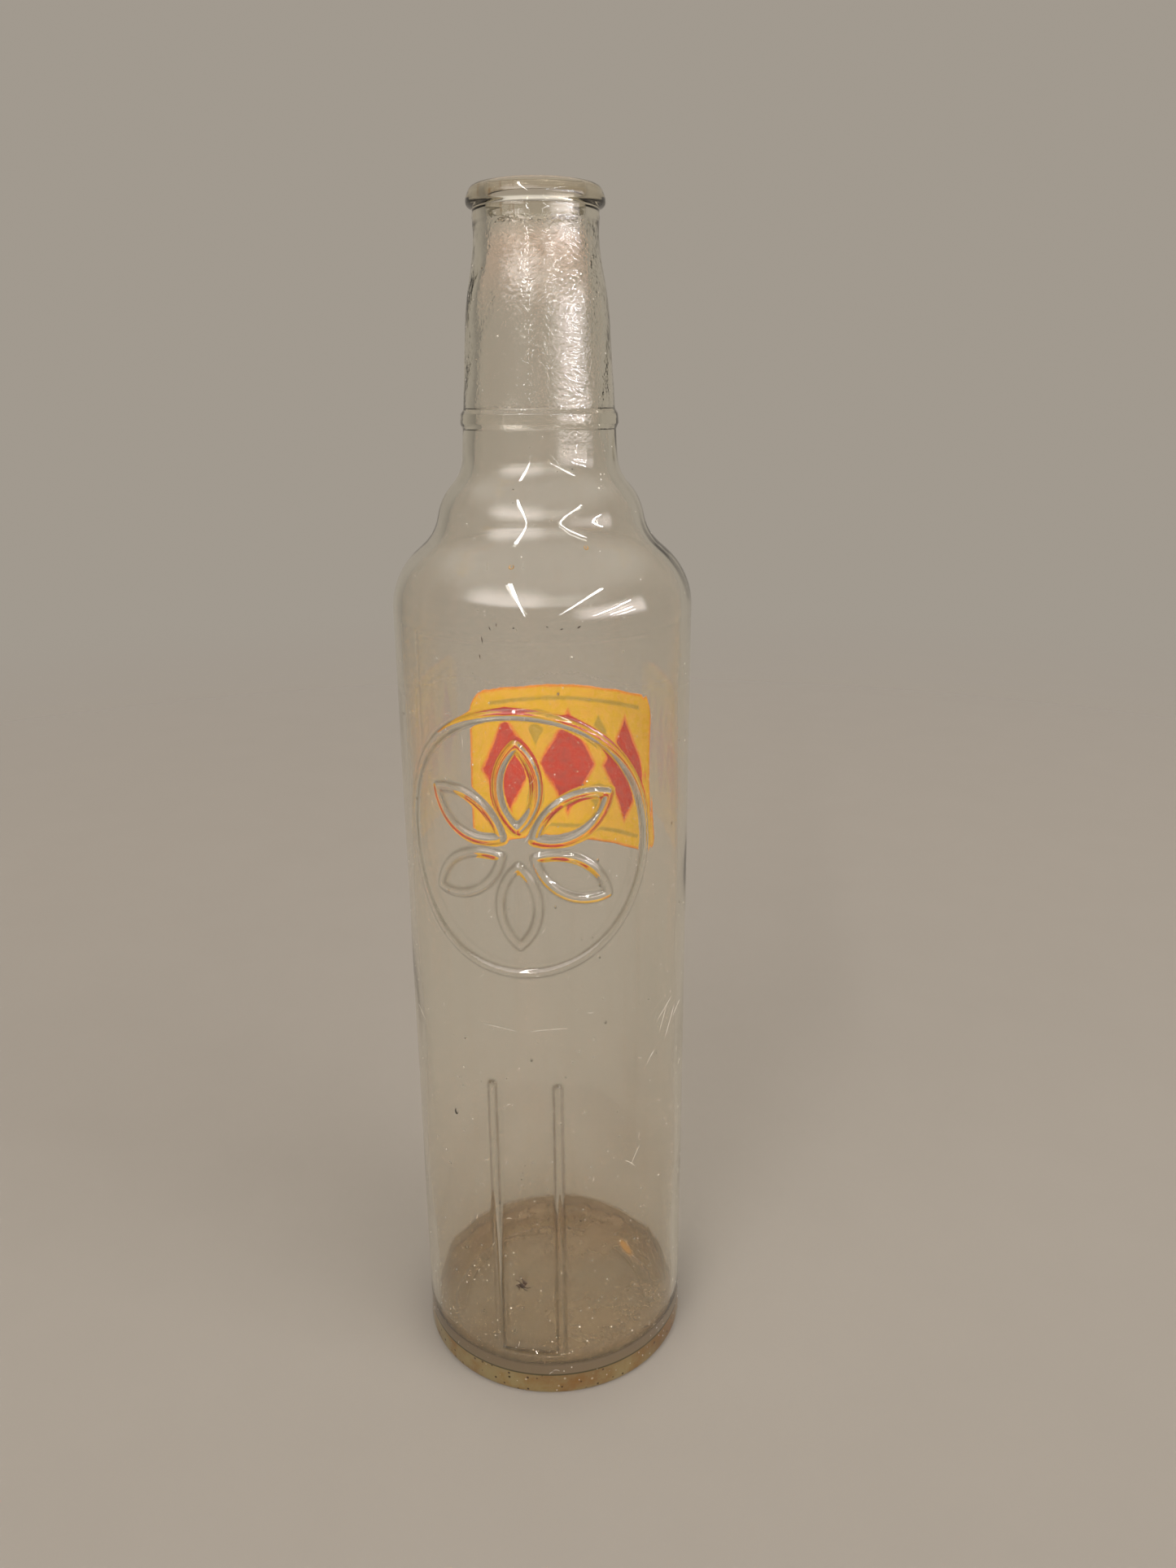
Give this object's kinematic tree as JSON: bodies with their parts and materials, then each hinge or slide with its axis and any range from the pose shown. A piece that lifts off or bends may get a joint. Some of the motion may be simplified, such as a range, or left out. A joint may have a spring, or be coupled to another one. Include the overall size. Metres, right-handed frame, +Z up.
{
  "type": "oil bottle",
  "caption": "Tall clear-glass oil bottle with a stepped shoulder, a long neck with a rolled lip, a raised ring and sight strip on its front and fired colour enamel on its back.",
  "frame": {"origin": "middle of the base, on the surface the bottle stands on", "axes": "+Z up along the bottle's axis; the front with the raised ring faces -Y and the enamel is on the back at +Y; +X is to the right seen from the front"},
  "size_m": [0.08, 0.0817, 0.3296],
  "materials": {
    "glass": "clear moulded glass with a faint grey-olive cast, lightly scuffed",
    "enamel_yellow": "fired yellow enamel, semi-gloss",
    "enamel_red": "fired red enamel, semi-gloss",
    "enamel_dark": "fired near-black enamel, semi-gloss"
  },
  "bodies": {
    "root": {"glass_bottle": "glass", "enamel_yellow_panel": "enamel_yellow", "enamel_red_lozenge_1": "enamel_red", "enamel_red_lozenge_2": "enamel_red", "enamel_red_lozenge_3": "enamel_red", "enamel_dark_rule_lower": "enamel_dark", "enamel_dark_rule_upper": "enamel_dark", "enamel_dark_lozenge_lower_1": "enamel_dark", "enamel_dark_lozenge_lower_2": "enamel_dark", "enamel_dark_lozenge_upper_1": "enamel_dark", "enamel_dark_lozenge_upper_2": "enamel_dark"}
  },
  "joints": []
}
